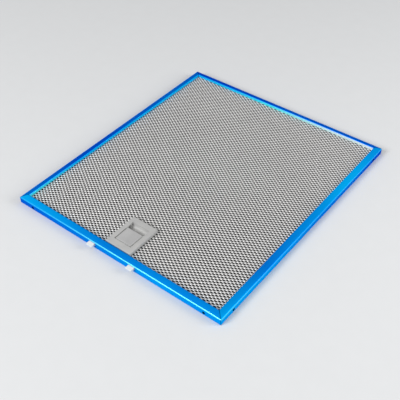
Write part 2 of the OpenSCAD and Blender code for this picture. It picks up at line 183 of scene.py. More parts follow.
class Graph:
    """The node tree of one new material, with a Principled BSDF already wired to its output."""

    def __init__(self, name: str) -> None:
        """Makes the material.

        Args:
            name: the material's name.
        """
        self.material = bpy.data.materials.new(name)
        self.material.use_nodes = True
        self.tree = self.material.node_tree
        self.tree.nodes.clear()
        self.shader = self.node("ShaderNodeBsdfPrincipled")
        self.node("ShaderNodeOutputMaterial", inputs={"Surface": self.shader.outputs["BSDF"]})

    def node(
        self,
        kind: str,
        settings: Mapping[str, object] | None = None,
        inputs: Mapping[str | int, object] | None = None,
    ) -> bpy.types.Node:
        """Adds any node.

        Args:
            kind: the node's type.
            settings: its properties, set first; stops is a ramp's list of (place, colour).
            inputs: numbers, tuples, sockets or Values by socket name, identifier or number.

        Returns:
            The node.
        """
        made = self.tree.nodes.new(kind)
        for key, setting in (settings or {}).items():
            if key == "stops":
                self._set_stops(made.color_ramp.elements, setting)
            else:
                setattr(made, key, setting)
        for key, given in (inputs or {}).items():
            self.feed(made, key, given)
        return made

    @staticmethod
    def _set_stops(elements: bpy.types.ColorRampElements, stops: Sequence) -> None:
        """Gives a colour ramp its stops.

        Args:
            elements: the ramp's elements.
            stops: pairs of a place and a colour, in order.
        """
        while len(elements) < len(stops):
            elements.new(1.0)
        for element, (place, colour) in zip(elements, stops):
            element.position = place
            element.color = (*colour, 1.0)

    def feed(self, node: bpy.types.Node, key: str | int, given: object) -> None:
        """Sets or links one input.

        Args:
            node: the node.
            key: the input's name, identifier or number.
            given: a number, a tuple, a socket or a Value.
        """
        if isinstance(key, int):
            target = node.inputs[key]
        else:
            named = (s for s in node.inputs if key in (s.identifier, s.name))
            target = next(named)
        if isinstance(given, Value):
            given = given.socket
        if isinstance(given, bpy.types.NodeSocket):
            self.tree.links.new(given, target)
        elif isinstance(given, tuple) and target.type == "RGBA":
            target.default_value = (*given, 1.0)
        else:
            target.default_value = given

    def place(self) -> bpy.types.NodeSocket:
        """The point on the object, in metres."""
        return self.node("ShaderNodeTexCoord").outputs["Object"]

    def axes(self, vector: bpy.types.NodeSocket) -> tuple[Value, Value, Value]:
        """Splits a vector.

        Args:
            vector: the vector.

        Returns:
            Its X, Y and Z.
        """
        made = self.node("ShaderNodeSeparateXYZ", inputs={"Vector": vector})
        return tuple(Value(self, made.outputs[axis]) for axis in "XYZ")

    def stretched(self, vector: bpy.types.NodeSocket, scale: Point) -> bpy.types.NodeSocket:
        """Scales a vector.

        Args:
            vector: the vector.
            scale: what each of its parts is multiplied by.

        Returns:
            The scaled vector.
        """
        settings = {"operation": "MULTIPLY"}
        return self.node("ShaderNodeVectorMath", settings, {0: vector, 1: scale}).outputs[0]

    def noise(self, vector: bpy.types.NodeSocket, scale: float, detail: float = 2.0) -> Value:
        """Soft noise from 0 to 1, about 0.5 on average.

        Args:
            vector: the coordinates.
            scale: cells to the metre.
            detail: octaves.

        Returns:
            The noise.
        """
        inputs = {"Vector": vector, "Scale": scale, "Detail": detail}
        return Value(self, self.node("ShaderNodeTexNoise", inputs=inputs).outputs[0])

    def mottle(self, vector: bpy.types.NodeSocket, scale: float, detail: float = 2.0) -> Value:
        """Noise whose usual values are stretched to run from 0 to 1.

        Args:
            vector: the coordinates.
            scale: cells to the metre.
            detail: octaves.

        Returns:
            The stretched noise.
        """
        return self.noise(vector, scale, detail).ramp(NOISE_LOW, NOISE_HIGH)

    def mixed(self, share: object, first: object, second: object) -> bpy.types.NodeSocket:
        """Blends two colours.

        Args:
            share: 0 for the first colour, 1 for the second.
            first: a colour or a colour socket.
            second: a colour or a colour socket.

        Returns:
            The blended colour.
        """
        inputs = {"Factor_Float": share, "A_Color": first, "B_Color": second}
        return self.node("ShaderNodeMix", {"data_type": "RGBA"}, inputs).outputs["Result"]

    def spread(self, along: Value, shares: Sequence[float]) -> Value:
        """Goes through a row of shares that is spread evenly from 0 to 1.

        Args:
            along: where to look the share up.
            shares: the row.

        Returns:
            The share there.
        """
        stops = [(i / (len(shares) - 1), (share,) * 3) for i, share in enumerate(shares)]
        ramp = self.node("ShaderNodeValToRGB", {"stops": stops}, {0: along})
        return Value(self, ramp.outputs["Color"])

    def bumped(self, height: Value, distance: float, strength: float) -> bpy.types.NodeSocket:
        """Turns a height into a normal.

        Args:
            height: the height, from 0 to 1.
            distance: what a height of 1 stands for, in metres.
            strength: how much of it shows.

        Returns:
            The normal.
        """
        inputs = {"Height": height, "Distance": distance, "Strength": strength}
        return self.node("ShaderNodeBump", inputs=inputs).outputs["Normal"]

    def finish(self, **sockets: object) -> bpy.types.Material:
        """Feeds the Principled BSDF.

        Args:
            sockets: its inputs, with underscores for the spaces in their names.

        Returns:
            The material.
        """
        for key, given in sockets.items():
            self.feed(self.shader, key.replace("_", " "), given)
        return self.material


@dataclass(frozen=True)
class PaintedBarLight:
    """How the painted light runs along one bar, from its left or front end to its right or back
    end.

    Each row of shares is spread evenly over the bar's length: of the light blue on the flange and
    on the outer wall, which is painted reflection and light, of the painted highlight on the lip,
    and of the painted highlight on the crease. The crease is the band between two heights.
    """

    way: Way
    flange: tuple[float, ...]
    wall: tuple[float, ...]
    lip: tuple[float, ...]
    crease: tuple[float, ...]
    band: tuple[float, float] = (7.1 * MM, 9.0 * MM)


@dataclass(frozen=True)
class SatinFrameMetal:
    """Satin metal of the roll-formed bars, coloured with painted reflection, highlights and shade.

    Its blue is a painted reflection of a blue surrounding in the metal, lighter or deeper along
    each bar where that reflection and the light fall, with painted highlights on the crease and the
    inner lip and painted shade in the mitres and punched marks. The outer walls stand half_w and
    half_l from the middle and are flat up to crease_z. The crease reaches crease_run behind them,
    and the lip is what lies lip_distance or more behind them. A name that ends in edge is how far a
    tone fades out, and one that ends in share how much of it shows. Relief is the height of the
    lines and the strength of their bump.
    """

    name: str
    tones: PaintedBarLight
    half_w: float
    half_l: float
    crease_z: float
    lip_distance: float
    # deep and light: the painted blue reflection, in shade and in light
    deep: Colour = (0.0003, 0.08, 0.64)
    light: Colour = (0.0012, 0.45, 1.0)
    wall_edge: float = 0.4 * MM
    drift_scale: float = 9.0
    drift_range: tuple[float, float] = (0.35, 0.65)
    drift_share: float = 0.07
    line_scale: float = 60.0
    line_squeeze: float = 45.0
    line_share: float = 0.25
    line_roughness: float = 0.12
    relief: tuple[float, float] = (0.02 * MM, 0.35)
    # painted highlight along the crease, as the bar's shares say
    crease: Colour = (0.008, 0.46, 1.0)
    crease_highlight: Colour = (0.13, 0.76, 1.0)
    crease_run: float = 0.95 * MM
    crease_core: float = 0.7
    crease_edge: float = 0.3 * MM
    crease_share: float = 0.9
    crease_gloss: float = 0.08
    crease_coat: float = 0.4
    # painted highlight on the inner lip: from the lip's tone through cyan to white
    lip: Colour = (0.004, 0.52, 1.0)
    cyan: Colour = (0.08, 0.93, 1.0)
    white: Colour = (0.9, 1.0, 1.0)
    cyan_at: float = 0.4
    lip_edge: float = 0.2 * MM
    lip_bareness: float = 0.4
    lip_coat: float = 0.12
    # tints the metal's own reflections blue, to go with the painted blue reflection
    edge_tint: Colour = (0.01, 0.45, 1.0)
    metallic: float = 0.5
    roughness: float = 0.30
    coat_roughness: float = 0.12
    # painted shade in the mitre seams and the punched marks
    painted_shade: Colour = (0.0, 0.012, 0.045)
    seam_half: float = 0.5 * MM
    seam_core: float = 0.4
    seam_share: float = 0.7
    punch_setback: float = 19.5 * MM
    punch_z: float = 3.3 * MM
    punch_r: float = 1.8 * MM
    punch_core: float = 0.8
    punch_depth: tuple[float, float] = (1.0 * MM, 5.0 * MM)

    @property
    def sideways(self) -> bool:
        """True for a bar that runs along X."""
        return self.tones.way is Way.ALONG_X

    def marks(self, from_side: Value, from_end: Value, z: Value) -> Value:
        """Where painted shade darkens the mitre seams and the punched marks.

        A mitre is where the side wall and the end wall are equally far. A punched mark is a circle
        on the outer wall, punch_setback from the corner and punch_z high, that fades out behind it.

        Args:
            from_side: the distance to the nearer side wall.
            from_end: the distance to the nearer end wall.
            z: the height.

        Returns:
            The share of painted shade.
        """
        seam_inside = self.seam_half * self.seam_core
        on_seam = abs(from_side - from_end).ramp(seam_inside, self.seam_half, 1.0, 0.0)
        from_corner = from_side if self.sideways else from_end
        from_punch = ((from_corner - self.punch_setback) ** 2 + (z - self.punch_z) ** 2) ** 0.5
        in_punch = from_punch.ramp(self.punch_r * self.punch_core, self.punch_r, 1.0, 0.0)
        near_wall = from_side.least(from_end).ramp(*self.punch_depth, 1.0, 0.0)
        return (on_seam * self.seam_share).most(in_punch * near_wall)

    def creased(self, wall_distance: Value, z: Value) -> Value:
        """Where the crease's painted highlight is.

        Args:
            wall_distance: the distance to the outer wall.
            z: the height.

        Returns:
            The share of the crease.
        """
        low, high = self.tones.band
        core = self.crease_run * self.crease_core
        near_wall = wall_distance.ramp(core, self.crease_run, 1.0, 0.0)
        above_low = z.ramp(low, low + self.crease_edge)
        below_high = z.ramp(high - self.crease_edge, high, 1.0, 0.0)
        return near_wall * above_low * below_high

    def material(self) -> bpy.types.Material:
        """The finish as a material.

        The colour runs between deep and light along the bar, as its shares say, with a slow drift;
        the shares are painted reflection and light. Fine lines run the way the strip was rolled.
        The lip's painted highlight goes from its own tone through cyan to white.

        Returns:
            The material.
        """
        graph = Graph(self.name)
        place = graph.place()
        x, y, z = graph.axes(place)
        along = x / (2 * self.half_w) + 0.5 if self.sideways else y / (2 * self.half_l) + 0.5
        from_side, from_end = self.half_w - abs(x), self.half_l - abs(y)
        wall_distance = from_side.least(from_end)
        on_crease = self.creased(wall_distance, z)
        on_lip = wall_distance.ramp(self.lip_distance - self.lip_edge, self.lip_distance)
        on_wall = z.ramp(self.crease_z - self.wall_edge, self.crease_z, 1.0, 0.0)

        squeeze = [self.line_squeeze] * 3
        squeeze[self.tones.way.value] = 1.0
        lines = graph.noise(graph.stretched(place, tuple(squeeze)), self.line_scale, detail=3.0)
        drifting = graph.noise(place, self.drift_scale, detail=1.0)
        drift = drifting.ramp(*self.drift_range, -self.drift_share, self.drift_share)
        # painted reflection and light: the share of the light blue on the flange and on the outer
        # wall
        flange, wall = graph.spread(along, self.tones.flange), graph.spread(along, self.tones.wall)
        share = flange + (wall - flange) * on_wall + drift + (lines - 0.5) * self.line_share
        body = graph.mixed(share, self.deep, self.light)

        # painted highlight on the inner lip
        lip_highlight_stops = ((0.0, self.lip), (self.cyan_at, self.cyan), (1.0, self.white))
        lip_highlight_share = graph.spread(along, self.tones.lip)
        lip = graph.node("ShaderNodeValToRGB", {"stops": lip_highlight_stops}, {0: lip_highlight_share}).outputs["Color"]
        # painted highlight on the crease
        crease = graph.mixed(graph.spread(along, self.tones.crease), self.crease, self.crease_highlight)
        clean = graph.mixed(on_crease * self.crease_share, graph.mixed(on_lip, body, lip), crease)
        return graph.finish(
            # painted shade over the painted highlights and reflection
            Base_Color=graph.mixed(self.marks(from_side, from_end, z), clean, self.painted_shade),
            Metallic=self.metallic - on_lip * self.lip_bareness,
            Roughness=self.roughness + lines * self.line_roughness - on_crease * self.crease_gloss,
            Specular_IOR_Level=0.0,
            Specular_Tint=self.edge_tint,
            Coat_Weight=on_lip * self.lip_coat + on_crease * self.crease_coat,
            Coat_Roughness=self.coat_roughness,
            Normal=graph.bumped(lines, *self.relief),
        )


@dataclass(frozen=True)
class BrightFoil:
    """Bare aluminium of an expanded sheet, with a painted highlight on its bonds.

    Between its bonds the foil is darker by dull_share, and more so by the shares of its strands,
    of its patches and of its left side. The painted highlight is stronger on the left. Relief is
    the height of the scratches and the strength of their bump.
    """

    name: str
    colour: Colour = (0.80, 0.79, 0.78)
    dull: Colour = (0.50, 0.50, 0.50)
    dull_share: float = 0.12
    strand_scale: float = 420.0
    strand_share: float = 0.15
    patch_scale: float = 14.0
    patch_share: float = 0.12
    left_share: float = 0.25
    left_reach: float = 100.0 * MM
    # painted highlight on the bonds, stronger on the left; the slants weight the lattice's two
    # diagonals
    bond_highlight: Colour = (1.0, 0.99, 0.98)
    bond_highlight_share: float = 0.45
    left_highlight_share: float = 0.35
    slant_left: float = 1.15
    slant_right: float = 0.45
    slant_sum: float = 0.75
    row_share: float = 0.25
    full_highlight_at: float = 0.9
    scratch_scale: float = 900.0
    scratch_squeeze: float = 6.0
    relief: tuple[float, float] = (0.02 * MM, 0.3)
    metallic: float = 0.35
    roughness: float = 0.34
    strand_roughness: float = 0.1
    bond_gloss: float = 0.1
    long_way: float = 6.06 * MM
    short_way: float = 3.8 * MM

    def bonds(self, x: Value, y: Value, left: Value) -> Value:
        """How much painted highlight the bonds get.

        It follows three cosines on the flat sheet, s cos(a + b) + (slant_sum - s) cos(a - b)
        + row_share cos(2 a), where a is 2 pi x / long_way, b is 2 pi y / short_way and s goes from
        slant_left at the left to slant_right at the right. It is full at a height of
        full_highlight_at.

        Args:
            x: the place on the flat sheet, across.
            y: the place on the flat sheet, lengthwise.
            left: 1 at the sheet's left, 0 at its right.

        Returns:
            The share of the painted highlight.
        """
        a, b = x * (math.tau / self.long_way), y * (math.tau / self.short_way)
        s = left * (self.slant_left - self.slant_right) + self.slant_right
        slants = (a + b).cosine() * s + (a - b).cosine() * (self.slant_sum - s)
        height = slants + (a * 2.0).cosine() * self.row_share
        return height.ramp(0.0, self.full_highlight_at) * (left * self.left_highlight_share + 1.0) * self.bond_highlight_share

    def material(self) -> bpy.types.Material:
        """The finish as a material: painted bond highlights, tones that change by strand, fine
        scratches.

        Returns:
            The material.
        """
        graph = Graph(self.name)
        place = graph.place()
        plan = graph.node("ShaderNodeAttribute", {"attribute_name": PLAN}).outputs["Vector"]
        x, y, _ = graph.axes(plan)
        left = x.ramp(-self.left_reach, self.left_reach, 1.0, 0.0)
        on_bond = self.bonds(x, y, left)
        strands = graph.mottle(place, self.strand_scale)
        patches = graph.mottle(place, self.patch_scale)
        dulled = strands * self.strand_share + patches * self.patch_share
        tone = dulled + left * self.left_share + self.dull_share
        squeeze = (1.0, self.scratch_squeeze, self.scratch_squeeze)
        scratches = graph.noise(graph.stretched(place, squeeze), self.scratch_scale)
        strand_colour = graph.mixed(tone, self.colour, self.dull)
        return graph.finish(
            # painted highlight on the bonds
            Base_Color=graph.mixed(on_bond, strand_colour, self.bond_highlight),
            Metallic=self.metallic,
            Roughness=self.roughness + strands * self.strand_roughness - on_bond * self.bond_gloss,
            Normal=graph.bumped(scratches, *self.relief),
        )


@dataclass(frozen=True)
class MouldedPlastic:
    """Moulding with a fine spark grain and a soft mottle.

    Where it has an inner tone, that tone is painted light on the walls down inside recesses and
    gaps: it takes over from the height inner_from down to inner_to. Relief is the height of the
    grain and the strength of its bump.
    """

    name: str
    colour: Colour
    shade: Colour
    inner: Colour | None = None
    inner_from: float = 6.8 * MM
    inner_to: float = 3.8 * MM
    mottle_scale: float = 90.0
    mottle_share: float = 0.6
    grain_scale: float = 2600.0
    grain_share: float = 0.3
    grain_roughness: float = 0.12
    relief: tuple[float, float] = (0.03 * MM, 0.35)
    roughness: float = 0.48
    specular: float = 0.45

    def material(self) -> bpy.types.Material:
        """The finish as a material.

        Returns:
            The material.
        """
        graph = Graph(self.name)
        place = graph.place()
        grain = graph.noise(place, self.grain_scale)
        mottle = graph.mottle(place, self.mottle_scale, detail=3.0)
        shaded = mottle * self.mottle_share + grain * self.grain_share
        surface = graph.mixed(shaded, self.colour, self.shade)
        # painted light: paler down inside recesses and gaps
        if self.inner:
            _, _, z = graph.axes(place)
            deep = z.ramp(self.inner_to, self.inner_from, 1.0, 0.0)
            surface = graph.mixed(deep, surface, self.inner)
        return graph.finish(
            Base_Color=surface,
            Roughness=self.roughness + grain * self.grain_roughness,
            Specular_IOR_Level=self.specular,
            Normal=graph.bumped(grain, *self.relief),
        )


@dataclass(frozen=True)
class BareMetal:
    """Plain metal of the hidden small parts: cast brackets and drawn spring wire.

    Relief is the height of the grain and the strength of its bump.
    """

    name: str
    colour: Colour
    shade: Colour
    roughness: float
    grain_scale: float
    grain_roughness: float = 0.15
    relief: tuple[float, float] = (0.03 * MM, 0.3)
    metallic: float = 0.9

    def material(self) -> bpy.types.Material:
        """The finish as a material: one grain drives tone, roughness and bump.

        Returns:
            The material.
        """
        graph = Graph(self.name)
        grain = graph.noise(graph.place(), self.grain_scale, detail=3.0)
        tone = grain.ramp(NOISE_LOW, NOISE_HIGH)
        return graph.finish(
            Base_Color=graph.mixed(tone, self.colour, self.shade),
            Metallic=self.metallic,
            Roughness=self.roughness + grain * self.grain_roughness,
            Normal=graph.bumped(grain, *self.relief),
        )


def add_object(name: str, data: bpy.types.ID) -> bpy.types.Object:
    """Puts a new object into the scene.

    Args:
        name: the object's name.
        data: its mesh, camera or light.

    Returns:
        The object.
    """
    made = bpy.data.objects.new(name, data)
    bpy.context.scene.collection.objects.link(made)
    return made


def add_piece(
    name: str,
    mesh: bpy.types.Mesh,
    body: Body,
    finish: bpy.types.Material,
    nodes: Sequence[str],
) -> bpy.types.Object:
    """Puts a finished mesh into the scene as a piece of the filter.

    Args:
        name: the piece's name.
        mesh: its mesh, in the frame's coordinates.
        body: the body that it rides on.
        finish: its material.
        nodes: the CAD nodes that it stands for.

    Returns:
        The object.
    """
    mesh.materials.clear()
    mesh.materials.append(finish)
    piece = add_object(name, mesh)
    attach(piece, body.value)
    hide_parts(*nodes)
    LOG.info("%s: %d faces, for %s", name, len(mesh.polygons), ", ".join(nodes))
    return piece


def mesh_from(name: str, points: np.ndarray, quads: np.ndarray) -> bpy.types.Mesh:
    """Makes a mesh of quads.

    Args:
        name: the mesh's name.
        points: (n, 3) points in metres.
        quads: (m, 4) point numbers.

    Returns:
        The mesh.
    """
    mesh = bpy.data.meshes.new(name)
    mesh.vertices.add(len(points))
    mesh.vertices.foreach_set("co", points.astype(np.float32).ravel())
    mesh.loops.add(quads.size)
    mesh.loops.foreach_set("vertex_index", quads.astype(np.int32).ravel())
    mesh.polygons.add(len(quads))
    mesh.polygons.foreach_set("loop_start", np.arange(0, quads.size, 4, dtype=np.int32))
    mesh.update(calc_edges=True)
    mesh.validate()
    return mesh


def refined_copy(
    node: str, crease: float = math.radians(32.0), merge: float = 0.0005 * MM
) -> bpy.types.Mesh:
    """A copy of a CAD node's mesh with its doubles merged and its round faces shaded smooth.

    Args:
        node: the CAD node.
        crease: edges that turn by more than this stay sharp.
        merge: points that are nearer than this are one.

    Returns:
        The mesh.
    """
    work = bmesh.new()
    work.from_mesh(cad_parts[node].data)
    bmesh.ops.remove_doubles(work, verts=work.verts, dist=merge)
    for edge in work.edges:
        edge.smooth = edge.calc_face_angle(math.pi) < crease
    for face in work.faces:
        face.smooth = True
    mesh = bpy.data.meshes.new(node + "_finished")
    work.to_mesh(mesh)
    work.free()
    return mesh


@dataclass(frozen=True)
class Cut:
    """A rectangle about X = 0 that is cut out of a sheet, from its front edge to back."""

    half_w: float
    back: float

    def holds(self, x: np.ndarray, y: np.ndarray) -> np.ndarray:
        """True where a point lies in the cut."""
        return (np.abs(x) < self.half_w) & (y < self.back)

    def pushed(self, points: np.ndarray) -> np.ndarray:
        """Moves what lies in the cut onto its nearer edge.

        Args:
            points: (n, 3) points.

        Returns:
            The points, none of them in the cut.
        """
        moved = points.copy()
        inside = self.holds(moved[:, 0], moved[:, 1])
        sideways = inside & (self.half_w - np.abs(moved[:, 0]) < self.back - moved[:, 1])
        backways = inside & ~sideways
        moved[sideways, 0] = np.where(moved[sideways, 0] < 0, -1.0, 1.0) * self.half_w
        moved[backways, 1] = self.back
        return moved


@dataclass(frozen=True)
class Outline:
    """Plan of a sheet: a rectangle about the middle, less its cuts."""

    half_w: float
    half_l: float
    cuts: tuple[Cut, ...]

    def holds(self, x: np.ndarray, y: np.ndarray) -> np.ndarray:
        """Tells which points lie on the sheet.

        Args:
            x: their X.
            y: their Y.

        Returns:
            True for each that does.
        """
        inside = (np.abs(x) < self.half_w) & (np.abs(y) < self.half_l)
        for cut in self.cuts:
            inside &= ~cut.holds(x, y)
        return inside

    def pushed(self, points: np.ndarray) -> np.ndarray:
        """Moves what lies past an edge back onto it.

        Args:
            points: (n, 3) points.

        Returns:
            The points, none past an edge.
        """
        moved = points.copy()
        moved[:, 0] = np.clip(moved[:, 0], -self.half_w, self.half_w)
        moved[:, 1] = np.clip(moved[:, 1], -self.half_l, self.half_l)
        for cut in self.cuts:
            moved = cut.pushed(moved)
        return moved


@dataclass(frozen=True)
class Unevenness:
    """How far the rows of a stretched sheet have wandered from a straight lattice.

    A point that lies x and y units from the middle is moved by the sum of 1, x, y, xx, xy, yy,
    xxx, xxy, xyy and yyy, each times its coefficient in millimetres.
    """

    along_x: tuple[float, ...] = (-0.64, 1.83, 0.84, 0.73, 0.18, 0.32, 0.0, 0.16, -0.62, -0.31)
    along_y: tuple[float, ...] = (-0.42, -1.64, -0.59, -1.16, 0.04, -0.39, 0.03, -0.77, 0.34, 0.09)
    unit: float = 100.0 * MM

    def moved(self, points: np.ndarray) -> np.ndarray:
        """Moves points of the sheet in its own plane.

        Args:
            points: (n, 3) points.

        Returns:
            The moved points.
        """
        x, y = points[:, 0] / self.unit, points[:, 1] / self.unit
        terms = np.stack(
            [x**0, x, y, x * x, x * y, y * y, x**3, x * x * y, x * y * y, y**3], axis=-1
        )
        moved = points.copy()
        moved[:, 0] += terms @ np.array(self.along_x) * MM
        moved[:, 1] += terms @ np.array(self.along_y) * MM
        return moved


@dataclass
class ExpandedSheet:
    """One slit and stretched sheet, as rows of zigzag strands that are joined at their bonds.

    Row j lies between the bond lines y = j p and y = (j + 1) p, where p is half the short way. At
    every half of the long way its strand touches one of the two lines, by turns, and is joined
    there to the next row. A bond is a flat plate, two strands wide, that rises backwards by tilt.
    So a strand's middle is at y = (j + 1/2) p + c (p - w cos t) / 2 and z = -c w sin t / 2, where c
    is 1 at a back bond and -1 at a front bond, w is the strand's width and t the tilt. Between
    bonds the strand runs straight and twists by itself, which turns its faces left and right.
    """

    name: str
    nodes: tuple[str, ...]
    slot: str
    outline: Outline
    low: float
    high: float
    long_way: float = 6.06 * MM
    short_way: float = 3.8 * MM
    strand: float = 0.82 * MM
    thickness: float = 0.3 * MM
    bond: float = 1.6 * MM
    tilt: float = math.radians(15.0)
    turn: float = 0.0
    turned_over: bool = False
    crimp: float = 0.0
    crimp_pitch: float = 9.5 * MM
    shift: tuple[float, float] = (0.0, 0.0)
    unevenness: Unevenness | None = None

    def sections(self) -> tuple[np.ndarray, np.ndarray]:
        """The strands' sections and which end of a bond each is at.

        Returns:
            Points by row, station, edge (front, back) and side (under, upper), and c by row and
            station.
        """
        reach = max(self.outline.half_w, self.outline.half_l) + self.long_way
        column_count = math.ceil(reach / (self.long_way / 2))
        pitch = self.short_way / 2
        row_count = math.ceil(reach / pitch)
        columns = np.repeat(np.arange(-column_count, column_count + 1), 2)
        ends = np.tile([-self.bond / 2, self.bond / 2], 2 * column_count + 1)
        rows = np.arange(-row_count, row_count)[:, None]
        side = np.where((columns + rows) % 2 == 1, 1.0, -1.0)
        across = np.array([math.cos(self.tilt), math.sin(self.tilt)])
        through = np.array([-across[1], across[0]])
        middle_y = (rows + 0.5) * pitch + side * (pitch - self.strand * across[0]) / 2
        middle_z = -side * self.strand * across[1] / 2
        edge = np.array([-0.5, 0.5]) * self.strand
        depth = np.array([-0.5, 0.5]) * self.thickness
        offset = edge[:, None, None] * across + depth[None, :, None] * through
        points = np.empty(side.shape + (2, 2, 3))
        points[..., 0] = (columns * self.long_way / 2 + ends)[None, :, None, None]
        points[..., 1] = middle_y[..., None, None] + offset[..., 0]
        points[..., 2] = middle_z[..., None, None] + offset[..., 1]
        return points, side

    def faces(self, side: np.ndarray) -> np.ndarray:
        """The quads between neighbouring sections, without the walls inside a bond.

        Args:
            side: c by row and station.

        Returns:
            (m, 4) point numbers, where bonded rows share their points.
        """
        number = np.arange(side.size * 4).reshape(side.shape + (2, 2))
        bonded = side[:-1] > 0
        number[1:, :, 0][bonded] = number[:-1, :, 1][bonded]
        here, there = number[:, :-1], number[:, 1:]
        front, back, under, upper = 0, 1, 0, 1

        def wall(first: tuple[int, int], second: tuple[int, int]) -> np.ndarray:
            """Quads between two corners of each section and the same corners of the next."""
            round_it = ((here, first), (there, first), (there, second), (here, second))
            return np.stack([numbers[..., *corner] for numbers, corner in round_it], axis=-1)

        at_bond = np.arange(side.shape[1] - 1) % 2 == 0
        closed_back = at_bond & (side[:, :-1] > 0)
        closed_back[-1] = False
        closed_front = at_bond & (side[:, :-1] < 0)
        closed_front[0] = False
        return np.concatenate([
            wall((front, upper), (back, upper)).reshape(-1, 4),
            wall((back, under), (front, under)).reshape(-1, 4),
            wall((front, under), (front, upper))[~closed_front],
            wall((back, upper), (back, under))[~closed_back],
        ])

    def placed(self, points: np.ndarray) -> np.ndarray:
        """Shifts, turns and lifts the flat sheet, and adds the crimp.

        Args:
            points: (n, 3) points about the origin.

        Returns:
            The points in the frame. The crimp lifts them by its height times a cosine of X.
        """
        moved = self.unevenness.moved(points) if self.unevenness else points.copy()
        moved[:, 2] += self.crimp / 2 * np.cos(2 * np.pi * moved[:, 0] / self.crimp_pitch)
        moved[:, :2] += self.shift
        if self.turned_over:
            moved[:, [0, 2]] *= -1
        c, s = math.cos(self.turn), math.sin(self.turn)
        moved[:, :2] = moved[:, :2] @ np.array([[c, s], [-s, c]])
        moved[:, 2] += (self.low + self.high) / 2
        moved[:, 2] = np.clip(moved[:, 2], self.low, self.high)
        return moved

    def mesh(self) -> bpy.types.Mesh:
        """The trimmed sheet, with the cut ends of its strands closed.

        Returns:
            The mesh, with its PLAN attribute.
        """
        sections, side = self.sections()
        quads = self.faces(side)
        flat = sections.reshape(-1, 3)
        points = self.placed(flat)
        middle = points[quads].mean(axis=1)
        quads = quads[self.outline.holds(middle[:, 0], middle[:, 1])]
        used, quads = np.unique(quads, return_inverse=True)
        points = self.outline.pushed(points[used])
        made = mesh_from(self.name, points, quads.reshape(-1, 4))
        plan = made.attributes.new(PLAN, "FLOAT_VECTOR", "POINT")
        plan.data.foreach_set("vector", flat[used].astype(np.float32).ravel())
        return closed_ends(made)

    def build(self, finish: bpy.types.Material) -> None:
        """Adds the sheet to the scene.

        Args:
            finish: its material.
        """
        add_piece(self.name, self.mesh(), Body.FILTER, finish, self.nodes)


def closed_ends(mesh: bpy.types.Mesh) -> bpy.types.Mesh:
    """Closes every open loop of a mesh with a face.

    Args:
        mesh: the mesh, changed in place.

    Returns:
        The same mesh.
    """
    work = bmesh.new()
    work.from_mesh(mesh)
    open_edges = [edge for edge in work.edges if edge.is_boundary]
    bmesh.ops.holes_fill(work, edges=open_edges, sides=0)
    work.to_mesh(mesh)
    work.free()
    return mesh


@dataclass
class FilterPack:
    """The face and rear sheets and the crimped layers between them."""

    face_foil: BrightFoil = BrightFoil("foil_face")
    rear_foil: BrightFoil = BrightFoil("foil_rear")
    # Painted shade: the inner layers are near black for the shade deep inside the pack; the real
    # layers are light aluminium.
    painted_shade_foil: BrightFoil = BrightFoil(
        "foil_inner", colour=(0.06, 0.06, 0.06), dull=(0.025, 0.025, 0.025), bond_highlight_share=0.0, metallic=0.6
    )
    layer_count: int = 6
    layer_long_way: float = 12.0 * MM
    layer_short_way: float = 6.4 * MM
    layer_strand: float = 1.6 * MM
    layer_thickness: float = 0.2 * MM
    layer_bond: float = 2.2 * MM
    layer_tilt: float = math.radians(8.0)
    layer_crimp: float = 0.19 * MM
    layer_shift: tuple[float, float] = (1.7 * MM, 1.1 * MM)
    cut_gap: float = 0.3 * MM
    bezel_lap: float = 1.7 * MM
    face_room_back: float = -145.2 * MM
    layer_room_back: float = -141.2 * MM
    room_spare: float = 1.2 * MM

    def outline_of(self, node: str, room_back: float) -> Outline:
        """The plan of a sheet, cut out for the latch tray and for the sliding tongues.

        Args:
            node: the CAD node.
            room_back: how far back the tongues' room reaches.

        Returns:
            The outline.
        """
        _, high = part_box(node)
        _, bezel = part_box("latch_bezel")
        _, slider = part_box("latch_slider")
        reach = self.cut_gap - self.bezel_lap
        tray = Cut(bezel.x + reach, bezel.y + reach)
        room = Cut(slider.x + self.room_spare, room_back)
        return Outline(high.x, high.y, (tray, room))

    def face(self) -> ExpandedSheet:
        """The face sheet, which ends under the frame's lip in front of the tongues.

        Returns:
            The sheet.
        """
        low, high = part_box("mesh_face")
        outline = self.outline_of("mesh_face", self.face_room_back)
        return ExpandedSheet(
            "mesh_front", ("mesh_face",), "face_sheet", outline, low.z, high.z,
            unevenness=Unevenness(),
        )

    def rear(self) -> ExpandedSheet:
        """The rear sheet, which lies below the tongues and is turned over.

        Returns:
            The sheet.
        """
        low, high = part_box("mesh_rear")
        outline = self.outline_of("mesh_rear", low.y)
        return ExpandedSheet(
            "mesh_back", ("mesh_rear",), "rear_sheet", outline, low.z, high.z, turned_over=True
        )

    def layer(self, number: int) -> ExpandedSheet:
        """One crimped layer; every other one is turned a quarter, and the lower half turned over.

        Args:
            number: the layer's number from the underside.

        Returns:
            The sheet.
        """
        node = f"filter_layer_{number}"
        low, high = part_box(node)
        crossed = number % 2 == 0
        outline = self.outline_of(node, self.layer_room_back)
        return ExpandedSheet(
            f"crimped_foil_{number}", (node,), "inner_sheet", outline, low.z, high.z,
            long_way=self.layer_long_way, short_way=self.layer_short_way,
            strand=self.layer_strand, thickness=self.layer_thickness, bond=self.layer_bond,
            tilt=self.layer_tilt, turn=math.pi / 2 if crossed else 0.0,
            turned_over=number * 2 <= self.layer_count, crimp=self.layer_crimp,
            shift=tuple(step * number for step in self.layer_shift),
        )

    def build(self) -> None:
        """Adds every sheet."""
        self.face().build(self.face_foil.material())
        self.rear().build(self.rear_foil.material())
        foil = self.painted_shade_foil.material()
        for number in range(1, self.layer_count + 1):
            self.layer(number).build(foil)


